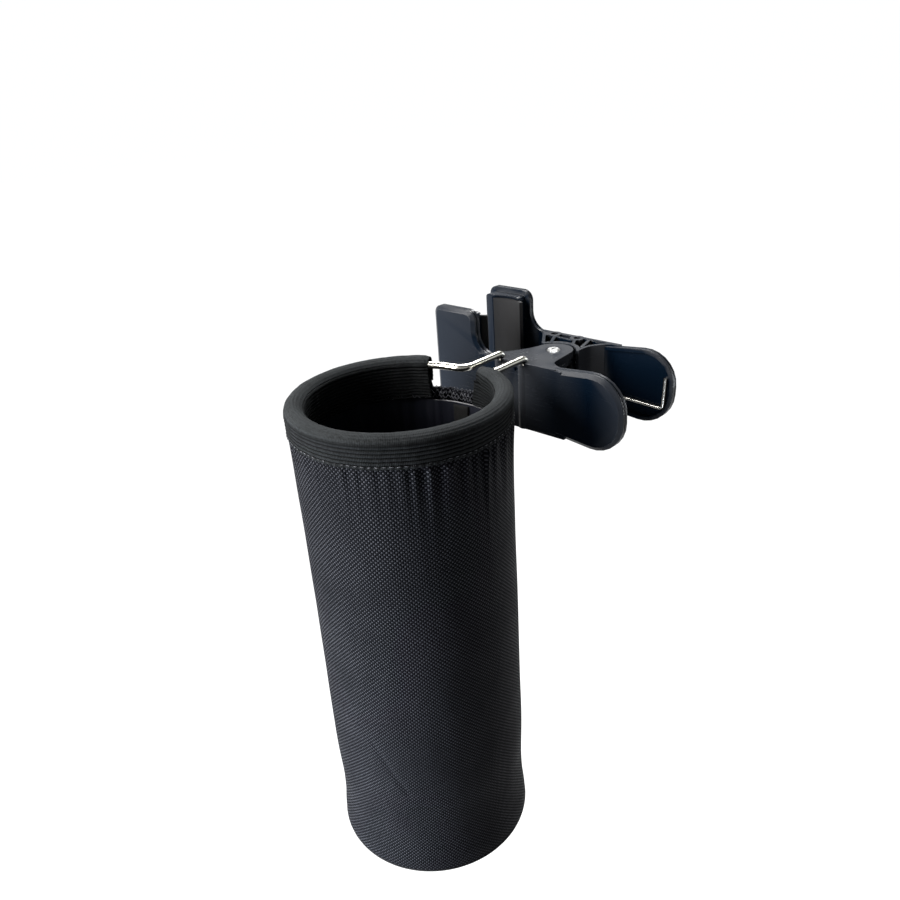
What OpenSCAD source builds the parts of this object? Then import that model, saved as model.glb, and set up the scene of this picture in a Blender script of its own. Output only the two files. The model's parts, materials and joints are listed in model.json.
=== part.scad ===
// Drumstick holder: an open fabric pouch on a wire hoop, carried by a spring clamp that grips a stand tube.
// Frame: +Z up along the gripped tube, origin on the tube's axis at the middle of the jaws.
// +X runs from the jaws to the handles, and the pouch hangs on the -Y side.

/* [Jaws] */
// Diameter of the tube that the jaws grip
tube_d = 35; // [30:1:38]
// Height of the jaw ears
ear_h = 85; // [78:1:90]
// Thickness of the soft jaw pads
pad_t = 2; // [1.5:0.25:2.5]
// Half of the angle that each pad wraps round the tube, in degrees
pad_half_angle = 35; // [30:1:38]

/* [Clamp] */
// Distance from the tube's axis to the hinge pin
pivot_x = 45; // [44:0.5:48]
// Distance from the clamp's middle plane to each outer face
face_y = 28; // [26:0.25:29]
// Height of the clamp's body
body_h = 38; // [36:1:40]
// Distance from the tube's axis to the ends of the handles
handle_x = 108; // [102:1:112]
// Thickness of the closed flange on each half
flange_t = 4; // [3:0.5:4]
// Thickness of the outer walls
wall_t = 2.5; // [2:0.25:3]

/* [Wire] */
// Diameter of the hoop's wire
wire_d = 4; // [3.5:0.25:4.5]
// Diameter of the torsion spring's wire
spring_d = 2; // [1.5:0.25:2]
// Number of turns in the torsion spring
spring_turns = 9; // [6:1:9]

/* [Pouch] */
// Outer radius of the pouch
pouch_r = 54.4; // [54:0.1:55]
// Height of the pouch
pouch_h = 270; // [200:5:320]
// Height of the elastic binding round the mouth, outside
binding_h = 15; // [13:0.5:18]
// Height of the binding's inner fold
inner_fold_h = 24; // [18:0.5:28]
// Thickness of the outer fabric
fabric_t = 1.2; // [0.8:0.1:1.4]
// Thickness of the lining
lining_t = 0.8; // [0.5:0.1:1]

/* [Hidden] */
$fn = 64;
eps = 0.1;
slide_gap = 0.05;
tube_r = tube_d / 2;
seat_r = tube_r + pad_t;
pad_h = ear_h - 10;

// Clamp levels, measured from the middle plane
body_z = body_h / 2;
flange_z = body_z - flange_t;
knuckle_t = 3.8;
knuckle_z = flange_z - slide_gap * 2;
coil_z = knuckle_z - knuckle_t - eps;

// Clamp plan
ear_x = [-19.5, 11];
ear_fillet = 11;
bevel = 2.2;
bevel_depth = 1.5;
rim_y = face_y - 5;
rim_w = 2.2;
groove = 0.7;
rib_t = 1.8;
seat_y = 15.5;
seat_inset = 3;
handle_root_x = 60;
handle_rise = 4;
handle_drop = 3.5;
handle_corner_r = [19, 18];
waist = 1.6;
arc_end_y = 6.5;
boss_r = 11;
knuckle_r = 9.5;
arc_r = 12.5;
arc_wall = 2.6;
ribs = [[[24, -21.5], [44, -19.5]], [[44, -23], [49, -12]],
        [[52, -25], [55.5, -12]], [[30, -23], [35.5, -11]]];
dimple_x = 40.7;
dimple_z = 15;
dimple_r = 1.3;
leg_window = [22, 18, 3.6];
socket_x = [28, 44];
socket_y = face_y - 3.5;
socket_r = wire_d / 2 + slide_gap;
socket_wall = 2.2;
elbow_r = 3;
elbow_depth = elbow_r - wire_d / 2 + eps;

// Hinge pin stack
screw_r = 2;
spacer_r = 3.5;
head_r = 3.8;
head_t = 1.9;
head_chamfer = 0.7;
recess_t = 1.2;
head_z = body_z - recess_t;
cross_l = 4;
cross_w = 0.9;
cross_depth = 1.3;
washer_r = 4.5;
washer_t = 0.8;
nut_r = 4.04;
nut_t = 3.2;
washer_z = -body_z - eps - washer_t;
nut_z = washer_z - nut_t;
screw_end_z = nut_z - 1.4;

// Torsion spring
wire_r = wire_d / 2;
spring_r = spring_d / 2;
coil_r = 6.5;
// Where a leg leaves the coil, seen in plan from the hinge pin, in degrees
leg_angle = 62;
leg_z = coil_z - spring_r;
leg_y = face_y - wall_t - spring_r - slide_gap;
leg_end_x = handle_x - 7;
leg_drop = 18;
leg_slope = 2.2;

// Hoop and pouch
hoop_r = 49;
hoop_z = body_z + wire_r + slide_gap;
pouch_x = 29.5;
pouch_y = -105;
rim_z = hoop_z + wire_r + 1.95;
floor_z = rim_z - pouch_h;
bend_r = 7;
leg_depth = 19;
wall_top_z = rim_z - 9;
hem_z = rim_z - 22;
inner_r = pouch_r - fabric_t;
lining_r = inner_r - eps;
lining_in_r = lining_r - lining_t;
binding_out_r = pouch_r + 0.85;
binding_in_r = lining_in_r - 1;
roll_r = 4.2;
roll_at_r = binding_out_r - roll_r;
gap_from = 78;
gap_to = 116;
hem_r = 1.15;
board_t = 2;
piping_r = 1.3;
seam_angle = 98.5;
seam_tape_angle = 11;
seam_tape_t = 0.8;

// ---- Outlines -------------------------------------------------------------------------------

function unit(v) = v / norm(v);
function turn2(v, a) = [v[0] * cos(a) - v[1] * sin(a), v[0] * sin(a) + v[1] * cos(a)];

// The arc that rounds corner b, between neighbours a and c, with radius r
function corner(a, b, c, r, steps = 7) =
    let (u = unit(a - b),
         w = unit(c - b),
         half = acos(u * w) / 2,
         mid = b + unit(u + w) * r / sin(half),
         from = b + u * r / tan(half) - mid,
         side = u[0] * w[1] - u[1] * w[0] > 0 ? -1 : 1,
         sweep = side * (180 - 2 * half))
    [for (i = [0:steps]) mid + turn2(from, sweep * i / steps)];

// Points [x, y, corner radius] turned into a closed outline with round corners
function rounded(p) =
    [for (i = [0:len(p) - 1])
        let (n = len(p),
             a = p[(i + n - 1) % n],
             b = p[i],
             c = p[(i + 1) % n])
        each (b[2] == 0 ? [[b[0], b[1]]] : corner([a[0], a[1]], [b[0], b[1]], [c[0], c[1]], b[2]))];

// Side view of a half: x along the clamp, y up
function side_points() =
    [[ear_x[0], ear_h / 2, 5], [ear_x[1], ear_h / 2, 6], [ear_x[1], body_z, ear_fillet],
     [handle_root_x + 6, body_z + 0.5, 0], [handle_root_x + 6, -body_z + waist, 0],
     [48, -body_z, 0], [ear_x[1], -body_z, ear_fillet], [ear_x[1], -ear_h / 2, 6],
     [ear_x[0], -ear_h / 2, 5]];

function ear_points() =
    [[ear_x[0], ear_h / 2, 5], [ear_x[1], ear_h / 2, 6], [ear_x[1], -ear_h / 2, 6],
     [ear_x[0], -ear_h / 2, 5]];

function handle_points() =
    [[handle_root_x, body_z, 0], [handle_x - 1.5, body_z + handle_rise, handle_corner_r[0]],
     [handle_x, -body_z - handle_drop, handle_corner_r[1]], [handle_root_x, -body_z + waist, 0]];

// Plan of the hollow body between jaw and handle, before the room for the coil is cut out
function body_points() =
    [[14, -face_y + eps, 0], [14, -rim_y, 0], [20.5, -rim_y, 5], [32, -arc_end_y, 0],
     [57.6, -arc_end_y, 0], [58.2, -16, 12], [66, -face_y + wall_t, 8],
     [72, -face_y + wall_t, 0], [72, -face_y + eps, 0]];

// Plan of the closed flange
function flange_points() =
    [[14, -face_y, 0], [14, -rim_y, 0], [20.5, -rim_y, 5], [31.5, -5.7, 3],
     [35.5, 5.3, 0], [45, 9, 0], [54, 5, 0], [56.2, -1, 3], [57.6, -18.6, 7.5], [68, -rim_y, 4],
     [70, -face_y + wall_t, 0], [70, -face_y, 0]];

module side_view(from_y, depth) {
    translate([0, from_y, 0])
        rotate([90, 0, 0])
            linear_extrude(depth)
                children();
}

// ---- One clamp half -------------------------------------------------------------------------
// Both halves are the same moulding. This one lies on the -Y side with its flange on top.

module outer_wall() {
    bevelled_panel(rounded(ear_points()));
    bevelled_panel(rounded(handle_points()));
    difference() {
        side_view(-face_y + wall_t, wall_t)
            intersection() {
                polygon(rounded(side_points()));
                translate([4, -body_z - ear_fillet])
                    square([handle_root_x + 2, body_h + 2 * ear_fillet]);
            }
        // the bevel follows the hollow corner between ear and body
        for (side = [-1, 1])
            translate([ear_x[1] + ear_fillet, -face_y - eps, side * (body_z + ear_fillet)])
                rotate([-90, 0, 0])
                    cylinder(r1 = ear_fillet + bevel, r2 = ear_fillet, h = bevel_depth + eps);
    }
}

// A convex panel whose outer edge is bevelled all round
module bevelled_panel(points) {
    hull() {
        side_view(-face_y + wall_t, wall_t - bevel_depth)
            polygon(points);
        side_view(-face_y + wall_t, wall_t)
            offset(delta = -bevel)
                polygon(points);
    }
}

// Second layer behind the outer wall, parted from it by a groove along its edge
module second_layer() {
    back = -face_y + wall_t;
    side_view(-rim_y, face_y - wall_t - rim_y - groove)
        children();
    side_view(back + groove, groove + eps)
        offset(delta = -groove)
            children();
}

module ear_slab() {
    second_layer()
        difference() {
            polygon(rounded(side_points()));
            translate([23, -ear_h])
                square([100, ear_h * 2]);
        }
    // seat for the pad
    side_view(-seat_y, rim_y - seat_y + eps)
        offset(delta = -seat_inset)
            polygon(rounded(ear_points()));
}

// Rim round the inner side of the handle
module handle_rim() {
    difference() {
        second_layer()
            polygon(rounded(handle_points()));
        side_view(-rim_y + 1, rim_y)
            offset(delta = -rim_w)
                polygon(rounded(handle_points()));
        // the root opens towards the hinge
        translate([handle_root_x - 1, -face_y + wall_t, -body_z + 4.4])
            cube([8, 20, body_h - 8.4]);
    }
}

module hollow_body() {
    translate([0, 0, -body_z])
        linear_extrude(flange_z + body_z)
            difference() {
                polygon(rounded(body_points()));
                hinge_circle(arc_r);
                pockets();
            }
}

module hinge_circle(r) {
    translate([pivot_x, 0])
        circle(r);
}

// Open cells between the ribs
module pockets() {
    difference() {
        offset(delta = -rib_t)
            difference() {
                polygon(rounded(body_points()));
                hinge_circle(arc_r + arc_wall - rib_t);
                translate([0, -face_y - 1])
                    square([24, 12]);
            }
        for (x = socket_x)
            translate([x, -socket_y])
                circle(socket_r + socket_wall);
        for (ends = ribs)
            rib(ends[0], ends[1]);
    }
}

module rib(a, b) {
    translate(a)
        rotate(atan2(b[1] - a[1], b[0] - a[0]))
            translate([0, -rib_t / 2])
                square([norm(b - a), rib_t]);
}

module flange() {
    translate([0, 0, flange_z])
        linear_extrude(flange_t)
            union() {
                polygon(rounded(flange_points()));
                hinge_circle(boss_r);
            }
}

module knuckle() {
    translate([0, 0, -knuckle_z])
        linear_extrude(knuckle_t)
            union() {
                hinge_circle(knuckle_r);
                translate([pivot_x - 7, -arc_r - 1])
                    square([14, arc_r]);
            }
}

module sockets() {
    for (x = socket_x)
        translate([x, -socket_y, -body_z])
            cylinder(r = socket_r + socket_wall, h = body_h);
}

module half_cuts() {
    for (x = socket_x) {
        translate([x, -socket_y, -body_z - 1])
            cylinder(r = socket_r, h = body_h + 2);
        // room for the elbow of the hoop's leg
        translate([x - socket_r, -face_y - 1, body_z - elbow_depth])
            cube([2 * socket_r, face_y + 1 - socket_y, elbow_depth + 1]);
    }
    // hinge bores
    translate([pivot_x, 0, flange_z - eps])
        cylinder(r = screw_r + slide_gap, h = flange_t + 1);
    translate([pivot_x, 0, head_z])
        cylinder(r = head_r + 0.3, h = recess_t + 1);
    translate([pivot_x, 0, -knuckle_z - eps])
        cylinder(r = spacer_r + slide_gap, h = knuckle_t + 2 * eps);
    // seat that the pad lines, and clear room for the tube beyond it
    translate([0, 0, -pad_h / 2 - 1])
        cylinder(r = seat_r, h = pad_h + 2);
    translate([0, 0, -ear_h])
        cylinder(r = tube_r + 0.8, h = 2 * ear_h);
    // dimple in the outer face
    translate([dimple_x, -face_y - 1, dimple_z])
        rotate([-90, 0, 0])
            cylinder(r = dimple_r, h = 2);
    // window for the spring's leg
    translate([pivot_x + 2, -face_y + wall_t, leg_z - leg_window[2] / 2])
        cube(leg_window);
}

module clamp_half() {
    difference() {
        union() {
            outer_wall();
            ear_slab();
            handle_rim();
            hollow_body();
            flange();
            knuckle();
            sockets();
        }
        half_cuts();
    }
}

module turned_half() {
    rotate([180, 0, 0])
        children();
}

module near_clamp_half() {
    color([0.16, 0.17, 0.18])
        clamp_half();
}

module far_clamp_half() {
    color([0.16, 0.17, 0.18])
        turned_half()
            clamp_half();
}

// ---- Jaw pads -------------------------------------------------------------------------------

module jaw_pad() {
    rotate(-90 - pad_half_angle)
        rotate_extrude(angle = 2 * pad_half_angle, $fn = 96)
            translate([tube_r, -pad_h / 2])
                square([pad_t, pad_h]);
}

module near_jaw_pad() {
    color([0.10, 0.10, 0.11])
        jaw_pad();
}

module far_jaw_pad() {
    color([0.10, 0.10, 0.11])
        turned_half()
            jaw_pad();
}

// ---- Hinge pin ------------------------------------------------------------------------------

module pivot_screw() {
    color([0.75, 0.76, 0.77])
        translate([pivot_x, 0, 0])
            difference() {
                union() {
                    translate([0, 0, screw_end_z])
                        cylinder(r = screw_r, h = head_z - screw_end_z);
                    translate([0, 0, head_z])
                        cylinder(r = head_r, h = head_t - head_chamfer);
                    translate([0, 0, head_z + head_t - head_chamfer])
                        cylinder(r1 = head_r, r2 = head_r - 1, h = head_chamfer);
                }
                // cross recess
                for (a = [0, 90])
                    rotate(a)
                        translate([-cross_l / 2, -cross_w / 2, head_z + head_t - cross_depth])
                            cube([cross_l, cross_w, head_t]);
            }
}

module pivot_spacer() {
    color([0.70, 0.71, 0.72])
        translate([pivot_x, 0, -flange_z])
            difference() {
                cylinder(r = spacer_r, h = 2 * flange_z);
                translate([0, 0, -1])
                    cylinder(r = screw_r + slide_gap, h = 2 * flange_z + 2);
            }
}

module pivot_washer() {
    color([0.70, 0.71, 0.72])
        translate([pivot_x, 0, washer_z])
            difference() {
                cylinder(r = washer_r, h = washer_t);
                translate([0, 0, -1])
                    cylinder(r = screw_r + slide_gap, h = 3);
            }
}

module pivot_nut() {
    color([0.70, 0.71, 0.72])
        translate([pivot_x, 0, nut_z])
            difference() {
                cylinder(r = nut_r, h = nut_t, $fn = 6);
                translate([0, 0, -1])
                    cylinder(r = screw_r + slide_gap, h = nut_t + 2);
            }
}

// ---- Torsion spring -------------------------------------------------------------------------

function coil_angle(t) = -leg_angle + 360 * (spring_turns + 2 * leg_angle / 360) * (1 - t);
function coil_point(t, a, r) =
    let (turn = coil_angle(t),
         out = coil_r + r * cos(a))
    [pivot_x + out * cos(turn), out * sin(turn), leg_z * (1 - 2 * t) + r * sin(a)];

module torsion_coil() {
    sides = 8;
    rings = spring_turns * 14;
    color([0.72, 0.73, 0.74])
        polyhedron(
            points = [for (i = [0:rings]) for (k = [0:sides - 1])
                coil_point(i / rings, 360 * k / sides, spring_r - slide_gap)],
            faces = concat(
                [[for (k = [0:sides - 1]) k]],
                [for (i = [0:rings - 1]) for (k = [0:sides - 1])
                    [i * sides + k, (i + 1) * sides + k,
                     (i + 1) * sides + (k + 1) % sides, i * sides + (k + 1) % sides]],
                [[for (k = [sides - 1:-1:0]) rings * sides + k]]));
}

// Points of a path whose corners are rounded off, starting the bend a distance r before each corner
function rounded_path(p, r) =
    concat([p[0]],
        [for (i = [1:len(p) - 2])
            let (from = p[i] + unit(p[i - 1] - p[i]) * r,
                 to = p[i] + unit(p[i + 1] - p[i]) * r)
            for (t = [0:0.2:1])
                from * (1 - t) * (1 - t) + p[i] * 2 * t * (1 - t) + to * t * t],
        [p[len(p) - 1]]);

// The ring round point i of a path that never runs along Y
function ring(path, i, r, sides) =
    let (n = len(path) - 1,
         along = unit(path[min(i + 1, n)] - path[max(i - 1, 0)]),
         a = unit(cross(along, [0, 1, 0])),
         b = cross(a, along))
    [for (k = [0:sides - 1])
        path[i] + r * (cos(360 * k / sides) * a + sin(360 * k / sides) * b)];

// A round wire along a path
module wire(path, r, sides = 12) {
    n = len(path) - 1;
    polyhedron(
        points = [for (i = [0:n]) each ring(path, i, r, sides)],
        faces = concat(
            [[for (k = [sides - 1:-1:0]) k]],
            [for (i = [0:n - 1]) for (k = [0:sides - 1])
                [i * sides + k, i * sides + (k + 1) % sides,
                 (i + 1) * sides + (k + 1) % sides, (i + 1) * sides + k]],
            [[for (k = [0:sides - 1]) n * sides + k]]));
}

function leg_points() =
    let (start = [pivot_x + coil_r * cos(-leg_angle), coil_r * sin(-leg_angle), leg_z])
    [start + unit([1, -0.35, 0]) * 1.5,
     [pivot_x + 20, -leg_y + 0.4, leg_z],
     [leg_end_x, -leg_y, leg_z + leg_slope],
     [leg_end_x + 0.8, -leg_y, leg_z + leg_slope - leg_drop]];

module spring_leg() {
    wire(rounded_path(leg_points(), 2.5), spring_r);
}

module spring_near_leg() {
    color([0.72, 0.73, 0.74])
        spring_leg();
}

module spring_far_leg() {
    color([0.72, 0.73, 0.74])
        turned_half()
            spring_leg();
}

// ---- Wire hoop ------------------------------------------------------------------------------

// A bent length of wire in the plane of the hoop
module bend(at, radius, from, sweep, r) {
    translate([at[0], at[1], 0])
        rotate(from)
            rotate_extrude(angle = sweep, $fn = 96)
                translate([radius, 0])
                    circle(r, $fn = 32);
}

// A leg that turns off the hoop's right side at distance dx from its middle, and ends in a socket
module hoop_leg(dx, r) {
    end_y = -pouch_y - socket_y;
    start_y = leg_start(dx);
    bend([dx + bend_r, start_y], bend_r, 180, leg_angle_on_hoop(dx), r);
    translate([dx, start_y, 0])
        rotate([-90, 0, 0])
            cylinder(r = r, h = end_y - elbow_r - start_y, $fn = 32);
    translate([dx, end_y - elbow_r, -elbow_r])
        rotate([0, -90, 0])
            rotate_extrude(angle = 90, $fn = 96)
                translate([elbow_r, 0])
                    circle(r, $fn = 32);
    translate([dx, end_y, -elbow_r - leg_depth])
        cylinder(r = r, h = leg_depth, $fn = 32);
}

function leg_start(dx) = sqrt(pow(hoop_r + bend_r, 2) - pow(dx + bend_r, 2));
function leg_angle_on_hoop(dx) = atan2(leg_start(dx), dx + bend_r);

module hoop_wire(r) {
    left = pouch_x - socket_x[0];
    right = socket_x[1] - pouch_x;
    from = 180 - leg_angle_on_hoop(left);
    to = 360 + leg_angle_on_hoop(right);
    translate([pouch_x, pouch_y, hoop_z]) {
        bend([0, 0], hoop_r, from, to - from, r);
        mirror([1, 0, 0])
            hoop_leg(left, r);
        hoop_leg(right, r);
    }
}

module wire_hoop() {
    color([0.80, 0.81, 0.82])
        hoop_wire(wire_r);
}

// ---- Pouch ----------------------------------------------------------------------------------

module at_pouch(z) {
    translate([pouch_x, pouch_y, z])
        children();
}

// A ring of rectangular section, or part of one
module band(r_in, r_out, z_low, z_high, from = 0, sweep = 360) {
    rotate(from)
        rotate_extrude(angle = sweep, $fn = 128)
            translate([r_in, z_low])
                square([r_out - r_in, z_high - z_low]);
}

module rim_binding() {
    color([0.20, 0.21, 0.22])
        difference() {
            at_pouch(0)
                rotate(gap_to)
                    rotate_extrude(angle = 360 + gap_from - gap_to, $fn = 128)
                        binding_section();
            hoop_wire(wire_r + 0.1);
        }
}

// Elastic folded over the hoop: a roll with a skirt outside and one inside the fabric
module binding_section() {
    translate([roll_at_r, rim_z - roll_r])
        circle(roll_r);
    translate([pouch_r + slide_gap, rim_z - binding_h])
        square([binding_out_r - pouch_r - slide_gap, binding_h - roll_r]);
    translate([binding_in_r, rim_z - inner_fold_h])
        square([lining_in_r - slide_gap - binding_in_r, inner_fold_h - roll_r]);
    translate([binding_in_r, wall_top_z + slide_gap])
        square([binding_out_r - binding_in_r, rim_z - roll_r - wall_top_z - slide_gap]);
}

module gap_cut() {
    at_pouch(0)
        band(pouch_r - 6, pouch_r + 3, hem_z, rim_z, gap_from, gap_to - gap_from);
}

module bag_wall() {
    color([0.15, 0.16, 0.22])
        difference() {
            at_pouch(0)
                band(inner_r, pouch_r, floor_z + fabric_t + slide_gap, wall_top_z);
            gap_cut();
        }
}

module bag_lining() {
    color([0.08, 0.08, 0.10])
        difference() {
            at_pouch(0)
                band(lining_in_r, lining_r, floor_z + fabric_t + slide_gap, wall_top_z);
            gap_cut();
        }
}

module top_hem() {
    color([0.15, 0.16, 0.22])
        at_pouch(hem_z + hem_r + slide_gap)
            rotate(gap_from + 1.5)
                rotate_extrude(angle = gap_to - gap_from - 3, $fn = 128)
                    translate([(pouch_r + lining_in_r) / 2, 0])
                        circle(hem_r, $fn = 24);
}

module side_seam_tape() {
    color([0.09, 0.09, 0.10])
        at_pouch(0)
            band(lining_in_r - seam_tape_t, lining_in_r - slide_gap, floor_z + 8, hem_z - 3,
                 seam_angle - seam_tape_angle / 2, seam_tape_angle);
}

module bag_bottom() {
    color([0.12, 0.13, 0.18])
        at_pouch(floor_z)
            cylinder(r = pouch_r, h = fabric_t, $fn = 128);
}

module bottom_board() {
    color([0.25, 0.24, 0.22])
        at_pouch(floor_z + fabric_t + slide_gap)
            cylinder(r = lining_in_r - 0.2, h = board_t, $fn = 128);
}

module bottom_lining() {
    color([0.08, 0.08, 0.10])
        at_pouch(floor_z + fabric_t + board_t + 2 * slide_gap)
            cylinder(r = lining_in_r - 0.2, h = lining_t, $fn = 128);
}

module bottom_piping() {
    color([0.08, 0.08, 0.10])
        difference() {
            at_pouch(floor_z + piping_r + eps)
                rotate_extrude($fn = 128)
                    translate([pouch_r + 0.3, 0])
                        circle(piping_r, $fn = 24);
            at_pouch(floor_z - 1)
                cylinder(r = pouch_r + slide_gap, h = 5, $fn = 128);
        }
}

near_clamp_half();
near_jaw_pad();
pivot_screw();
pivot_spacer();
pivot_washer();
pivot_nut();
torsion_coil();
spring_near_leg();
wire_hoop();
rim_binding();
bag_wall();
bag_lining();
top_hem();
side_seam_tape();
bag_bottom();
bottom_board();
bottom_lining();
bottom_piping();
far_clamp_half();
far_jaw_pad();
spring_far_leg();
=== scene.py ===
"""Looks of a clamp-on drumstick holder: a fabric pouch on a wire hoop, held by a spring clamp."""

import json
import math

import bmesh
import bpy
from mathutils import Matrix, Vector, noise


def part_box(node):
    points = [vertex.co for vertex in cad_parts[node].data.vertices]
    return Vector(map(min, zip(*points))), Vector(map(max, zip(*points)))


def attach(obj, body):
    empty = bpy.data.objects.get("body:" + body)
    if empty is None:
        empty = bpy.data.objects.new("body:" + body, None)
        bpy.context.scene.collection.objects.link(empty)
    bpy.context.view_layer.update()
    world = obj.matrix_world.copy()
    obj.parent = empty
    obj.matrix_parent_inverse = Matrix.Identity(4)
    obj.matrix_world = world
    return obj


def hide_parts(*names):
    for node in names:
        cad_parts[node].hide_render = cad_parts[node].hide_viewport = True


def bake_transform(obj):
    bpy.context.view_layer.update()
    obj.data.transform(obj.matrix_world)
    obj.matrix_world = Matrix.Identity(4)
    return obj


MM = 0.001
TAU = 2 * math.pi

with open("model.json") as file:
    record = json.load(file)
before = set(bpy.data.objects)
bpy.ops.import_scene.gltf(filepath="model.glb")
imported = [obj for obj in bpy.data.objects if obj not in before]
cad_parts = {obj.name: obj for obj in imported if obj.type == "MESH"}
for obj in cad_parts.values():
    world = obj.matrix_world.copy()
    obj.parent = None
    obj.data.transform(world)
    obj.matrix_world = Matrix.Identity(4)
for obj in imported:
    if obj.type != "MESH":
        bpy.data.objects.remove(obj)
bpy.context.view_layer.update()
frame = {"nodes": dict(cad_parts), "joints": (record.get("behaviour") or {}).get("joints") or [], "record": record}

# ---- Places, all from the frame ---------------------------------------------------------------

BOTTOM_LOW, BOTTOM_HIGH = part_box("bag_bottom")
AXIS = Vector(((BOTTOM_LOW.x + BOTTOM_HIGH.x) / 2, (BOTTOM_LOW.y + BOTTOM_HIGH.y) / 2, 0))
BAG_R = (BOTTOM_HIGH.x - BOTTOM_LOW.x) / 2
FLOOR_Z = BOTTOM_LOW.z
RIM_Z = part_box("rim_binding")[1].z
INNER_FOLD_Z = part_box("rim_binding")[0].z
WALL_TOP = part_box("bag_wall")[1].z
WIRE_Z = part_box("wire_hoop")[1].z - 2 * MM
# the near half's sockets lie opposite the far half's spare ones
SOCKETS = [Vector((m["pos_m"][0], -m["pos_m"][1], 0))
           for m in frame["record"]["mounts"] if m["name"].startswith("spare_socket")]
HINGE = Vector(frame["joints"][0]["pos_m"])

# ---- Dimensions -------------------------------------------------------------------------------

WIRE_R = 2.0 * MM
HOOP_R = 49.0 * MM
HOOP_BEND = 7.0 * MM
ELBOW = 3.0 * MM
LEG_DEPTH = 19.0 * MM
SPRING_R = 1.0 * MM
COIL_R = 6.5 * MM
COIL_TURNS = 9
COIL_Z = 10.0 * MM
LEG_ANGLE = math.radians(62)
GAP_FROM = math.radians(79)
GAP_TO = math.radians(117)
SEAM_ANGLE = (GAP_FROM + GAP_TO) / 2
GAP_TURN = GAP_TO - GAP_FROM
BINDING_TURN = TAU - GAP_TURN
# the roll round the wire is a little wider than it is tall
ROLL_R = 4.1 * MM
ROLL_TALL = 3.7 * MM
ROLL_AT_R = BAG_R + 0.85 * MM - ROLL_R
ROLL_Z = RIM_Z - ROLL_TALL - 0.1 * MM
SKIRT_Z = RIM_Z - 15 * MM
SKIRT_W = ROLL_Z - SKIRT_Z
ELASTIC_T = 0.6 * MM
OUTER_STEPS, ROLL_STEPS, INNER_STEPS = 64, 40, 110
FABRIC_T = 0.8 * MM
RIB_PITCH = 1.95 * MM
RIB_DEPTH = 0.48 * MM
HEM_Z = RIM_Z - 21.5 * MM
WEAVE_PITCH = 1.12 * MM
WALL_PROUD = 0.5 * MM
GATHER_DEPTH = 3.4 * MM
STITCH_PITCH = 3.2 * MM

# ---- Mesh helpers -----------------------------------------------------------------------------


def link(name, mesh):
    obj = bpy.data.objects.new(name, mesh)
    bpy.context.scene.collection.objects.link(obj)
    return obj


def grid(name, columns, rows, place, uv=None, wrap=False, flip=False):
    """A quad grid: place(i, j) is the point of column i and row j, and uv(i, j, point) its place
    on the flat cloth. wrap joins the last column to the first."""
    vertices = [place(i, j) for i in range(columns) for j in range(rows)]
    faces, coords = [], []
    for i in range(columns if wrap else columns - 1):
        n = (i + 1) % columns
        for j in range(rows - 1):
            corners = [(i, j), (n, j), (n, j + 1), (i, j + 1)]
            if flip:
                corners.reverse()
            faces.append([a * rows + b for a, b in corners])
            if uv:
                coords += [uv(columns if (n == 0 and a == 0) else a, b, vertices[a * rows + b])
                           for a, b in corners]
    mesh = bpy.data.meshes.new(name)
    mesh.from_pydata(vertices, [], faces)
    if uv:
        layer = mesh.uv_layers.new(name="UVMap")
        for loop, value in zip(layer.data, coords):
            loop.uv = value
    mesh.polygons.foreach_set("use_smooth", [True] * len(mesh.polygons))
    mesh.update()
    return link(name, mesh)


def polar(angle, radius, z):
    return Vector((AXIS.x + radius * math.cos(angle), AXIS.y + radius * math.sin(angle), z))


def outward(angle):
    return Vector((math.cos(angle), math.sin(angle), 0))


def sideways(angle, lean=1.0, rise=0.0):
    """Direction along the pouch's girth, leaning up by rise."""
    return Vector((-lean * math.sin(angle), lean * math.cos(angle), rise)).normalized()


def away(angle, centre):
    """Signed turn from centre to angle, within half a turn."""
    return (angle - centre + math.pi) % TAU - math.pi


def smooth(x):
    x = min(max(x, 0.0), 1.0)
    return x * x * (3 - 2 * x)


def bell(x, width):
    return math.exp(-(x / width) ** 2)


def solidify(obj, thickness, offset=-1):
    modifier = obj.modifiers.new("thickness", "SOLIDIFY")
    modifier.thickness = thickness
    modifier.offset = offset
    modifier.use_even_offset = True


def close_centre(obj, rows, columns):
    """Fills the small hole at the middle of a disc grid."""
    bm = bmesh.new()
    bm.from_mesh(obj.data)
    bm.verts.ensure_lookup_table()
    loop = [bm.verts[i * rows] for i in range(columns)]
    face = bm.faces.new(loop)
    face.smooth = True
    layer = bm.loops.layers.uv.active
    if layer:
        for corner in face.loops:
            corner[layer].uv = corner.vert.co.xy
    bmesh.ops.recalc_face_normals(bm, faces=bm.faces)
    bm.to_mesh(obj.data)
    bm.free()


def tube(name, path, radius, sides=20):
    """A round tube through a list of points, with its ends capped flat."""
    curve = bpy.data.curves.new(name, "CURVE")
    curve.dimensions = "3D"
    curve.bevel_depth = radius
    curve.bevel_resolution = sides // 4
    curve.use_fill_caps = True
    spline = curve.splines.new("POLY")
    spline.points.add(len(path) - 1)
    for point, place in zip(spline.points, path):
        point.co = (*place, 1)
    spline.use_smooth = True
    source = bpy.data.objects.new(name + "_curve", curve)
    mesh = bpy.data.meshes.new_from_object(source)
    mesh.name = name
    bpy.data.objects.remove(source)
    mesh.polygons.foreach_set("use_smooth", [True] * len(mesh.polygons))
    return link(name, mesh)


def rounded_path(points, radius, steps=8):
    """The points with each corner turned into a smooth bend."""
    path = [points[0]]
    for before, corner, after in zip(points, points[1:], points[2:]):
        start = corner + (before - corner).normalized() * radius
        end = corner + (after - corner).normalized() * radius
        for k in range(steps + 1):
            t = k / steps
            path.append(start * (1 - t) ** 2 + corner * 2 * t * (1 - t) + end * t * t)
    path.append(points[-1])
    return path


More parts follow.
